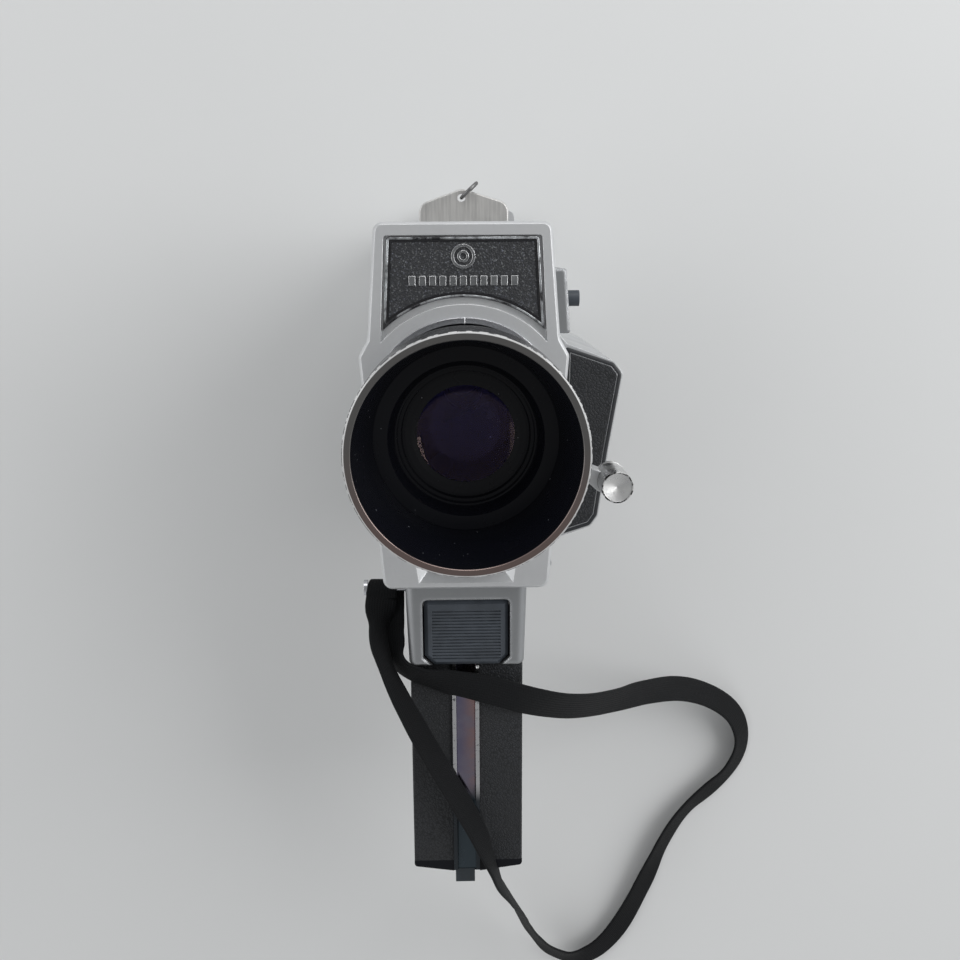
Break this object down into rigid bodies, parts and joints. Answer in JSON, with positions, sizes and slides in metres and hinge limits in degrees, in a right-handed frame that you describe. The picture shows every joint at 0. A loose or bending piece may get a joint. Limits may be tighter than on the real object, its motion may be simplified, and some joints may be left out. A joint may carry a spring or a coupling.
{
  "type": "cine camera",
  "caption": "Pistol-grip cine camera lying on its back: deep lens hood, zoom lever, bulged film door, ribbed trigger, filter key, battery grip and a flat wrist strap.",
  "frame": {"origin": "the lens axis where it meets the flat back of the rear cover", "axes": "+Z along the lens axis towards the hood, +Y towards the camera's top, -Y down the grip, +X to the operator's left, where the film door is"},
  "size_m": [0.1474, 0.3123, 0.1717],
  "materials": {
    "black_crinkle": "sparkling black crinkle",
    "black_paint": "gloss black with worn rim",
    "black_plastic": "matt",
    "blue_grey_plastic": "satin",
    "board": "laminate",
    "brass": "turned",
    "bright_metal": "bright",
    "cast_metal": "fine cast, painted satin silver",
    "cell_sleeve": "printed sleeve",
    "clear_glass": "clear",
    "coated_glass": "violet coated",
    "knob_metal": "turned",
    "leatherette": "fine grained black",
    "plate_metal": "satin with bright bevels",
    "rubber": "matt",
    "silver_paint": "satin anodised",
    "steel": "brushed",
    "webbing": "flat woven",
    "window_glass": "clear"
  },
  "bodies": {
    "camera": {"front_plate": "plate_metal", "nameplate": "black_crinkle", "nameplate_emblem": "bright_metal", "lens_collar": "bright_metal", "meter_window": "window_glass", "right_shell": "silver_paint", "left_shell": "silver_paint", "top_cover": "silver_paint", "rear_cover": "silver_paint", "cover_screws": "steel", "right_side_panel": "leatherette", "chassis": "cast_metal", "gate_plate": "steel", "drive_motor": "steel", "lens_barrel": "black_paint", "rear_optics": "clear_glass", "meter_movement": "black_plastic", "finder_tube": "black_paint", "eyecup": "rubber", "latch_housing": "cast_metal", "latch_spring": "steel", "grip_casting": "cast_metal", "hinge_pins": "steel", "run_switch": "black_plastic", "trigger_spring": "steel", "grip_frame": "black_paint", "grip_panels": "leatherette", "trim_strip": "bright_metal", "strip_foot": "black_plastic", "grip_base": "black_paint", "tripod_bush": "brass", "battery_cells": "cell_sleeve", "contact_board": "board", "strap_post": "bright_metal", "strap_eye": "webbing", "wrist_strap": "webbing"},
    "claw": {"film_claw": "steel"},
    "shutter": {"shutter_disc": "black_paint", "shutter_gear": "brass"},
    "rotor": {"motor_shaft": "steel"},
    "takeup": {"takeup_spindle": "black_plastic"},
    "zoom": {"zoom_ring": "silver_paint", "zoom_lever": "silver_paint", "zoom_knob": "knob_metal"},
    "zoom_carriage": {"zoom_cell": "black_paint", "zoom_glass": "coated_glass"},
    "focus": {"focus_ring": "black_paint", "lens_hood": "black_paint", "front_cell": "black_paint", "front_element": "coated_glass"},
    "iris": {"iris_vane": "black_paint"},
    "dioptre": {"dioptre_ring": "black_plastic", "eyepiece_glass": "clear_glass"},
    "key": {"filter_key": "steel"},
    "ring": {"key_ring": "steel"},
    "latch": {"latch_button": "blue_grey_plastic"},
    "door": {"film_door": "silver_paint", "door_panels": "leatherette"},
    "trigger_lever": {"trigger": "blue_grey_plastic"},
    "battery_lid": {"battery_door": "black_plastic"}
  },
  "joints": [
    {"name": "zoom_turn", "type": "hinge", "parent": "camera", "child": "zoom", "pos_m": [0, 0, 0.134], "axis": [0, 0, 1], "range_deg": [-40, 50]},
    {"name": "zoom_slide", "type": "slide", "parent": "camera", "child": "zoom_carriage", "axis": [0, 0, 1], "range_m": [-0.004, 0.005]},
    {"name": "focus_turn", "type": "hinge", "parent": "camera", "child": "focus", "pos_m": [0, 0, 0.145], "axis": [0, 0, 1], "range_deg": [-60, 60]},
    {"name": "trigger_press", "type": "hinge", "parent": "camera", "child": "trigger_lever", "pos_m": [0, -0.0605, 0.0955], "axis": [1, 0, 0], "range_deg": [0, 6], "stiffness_Nm_per_rad": 0.5, "springref_deg": -5.73, "deforming": ["trigger_spring"]},
    {"name": "latch_press", "type": "slide", "parent": "camera", "child": "latch", "axis": [-1, 0, 0], "range_m": [0, 0.0012], "stiffness_N_per_m": 400, "springref_m": -0.001, "deforming": ["latch_spring"]},
    {"name": "door_open", "type": "hinge", "parent": "camera", "child": "door", "pos_m": [0.0251, -0.0484, 0.055], "axis": [0, 0, -1], "range_deg": [0, 95]},
    {"name": "battery_door_open", "type": "hinge", "parent": "camera", "child": "battery_lid", "pos_m": [-0.0134, -0.1155, 0.049], "axis": [0, 1, 0], "range_deg": [0, 100]},
    {"name": "key_pull", "type": "slide", "parent": "camera", "child": "key", "axis": [0, 1, 0], "range_m": [0, 0.012]},
    {"name": "ring_swing", "type": "hinge", "parent": "key", "child": "ring", "pos_m": [-0.0002, 0.0594, 0.0953], "axis": [0, 0, 1], "range_deg": [-6, 94]},
    {"name": "dioptre_turn", "type": "hinge", "parent": "camera", "child": "dioptre", "pos_m": [0.004, 0.041, 0.005], "axis": [0, 0, 1], "range_deg": [-90, 90]},
    {"name": "iris_turn", "type": "hinge", "parent": "camera", "child": "iris", "pos_m": [-0.0136, 0, 0.1095], "axis": [0, 0, 1], "range_deg": [-8, 8], "stiffness_Nm_per_rad": 0.0001},
    {"name": "shutter_spin", "type": "hinge", "parent": "camera", "child": "shutter", "pos_m": [-0.007, -0.009, 0.095], "axis": [0, 0, 1], "continuous": true},
    {"name": "motor_spin", "type": "hinge", "parent": "camera", "child": "rotor", "pos_m": [-0.0163, -0.0127, 0.07], "axis": [0, 0, 1], "continuous": true},
    {"name": "takeup_spin", "type": "hinge", "parent": "camera", "child": "takeup", "pos_m": [-0.01, -0.0242, 0.045], "axis": [1, 0, 0], "continuous": true},
    {"name": "claw_stroke", "type": "slide", "parent": "camera", "child": "claw", "axis": [0, 1, 0], "range_m": [-0.0021, 0.0021]}
  ],
  "couplings": [
    {"joint": "zoom_slide", "follows": "zoom_turn", "m_per_rad": 0.0057},
    {"joint": "motor_spin", "follows": "shutter_spin", "ratio": -1.5},
    {"joint": "takeup_spin", "follows": "shutter_spin", "ratio": -0.041667}
  ]
}
